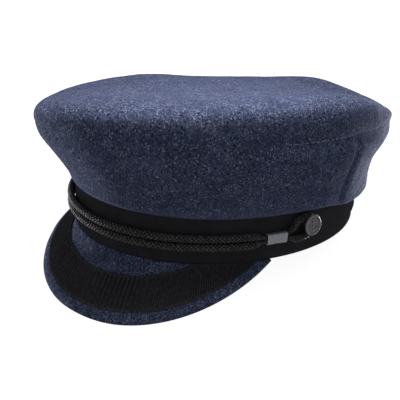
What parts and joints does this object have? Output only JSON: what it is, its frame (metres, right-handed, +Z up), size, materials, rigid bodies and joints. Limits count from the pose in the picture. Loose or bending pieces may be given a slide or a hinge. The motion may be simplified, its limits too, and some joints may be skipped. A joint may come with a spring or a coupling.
{
  "type": "breton fisherman cap",
  "caption": "Soft wool fisherman cap with a full crown, a black band, a braided cord held by side buttons, and a short sloping peak with a ribbed ribbon.",
  "frame": {"origin": "middle of the cap's box on the surface it rests on", "axes": "+Z up, front of the cap and its peak to -Y, the wearer's left to +X"},
  "size_m": [0.2055, 0.2624, 0.1252],
  "materials": {
    "wool": "navy melange wool cloth, brushed",
    "band_cloth": "smooth black cloth",
    "ribbon": "ribbed black ribbon",
    "braid": "black braided cord",
    "ferrule_metal": "matt grey",
    "button_metal": "antiqued gunmetal"
  },
  "bodies": {
    "root": {"crown_top": "wool", "crown_side_front": "wool", "crown_side_back": "wool", "band": "band_cloth", "peak": "wool", "peak_ribbon": "ribbon", "cord": "braid", "ferrule_left": "ferrule_metal", "ferrule_right": "ferrule_metal", "button_left": "button_metal", "button_right": "button_metal"}
  },
  "joints": []
}
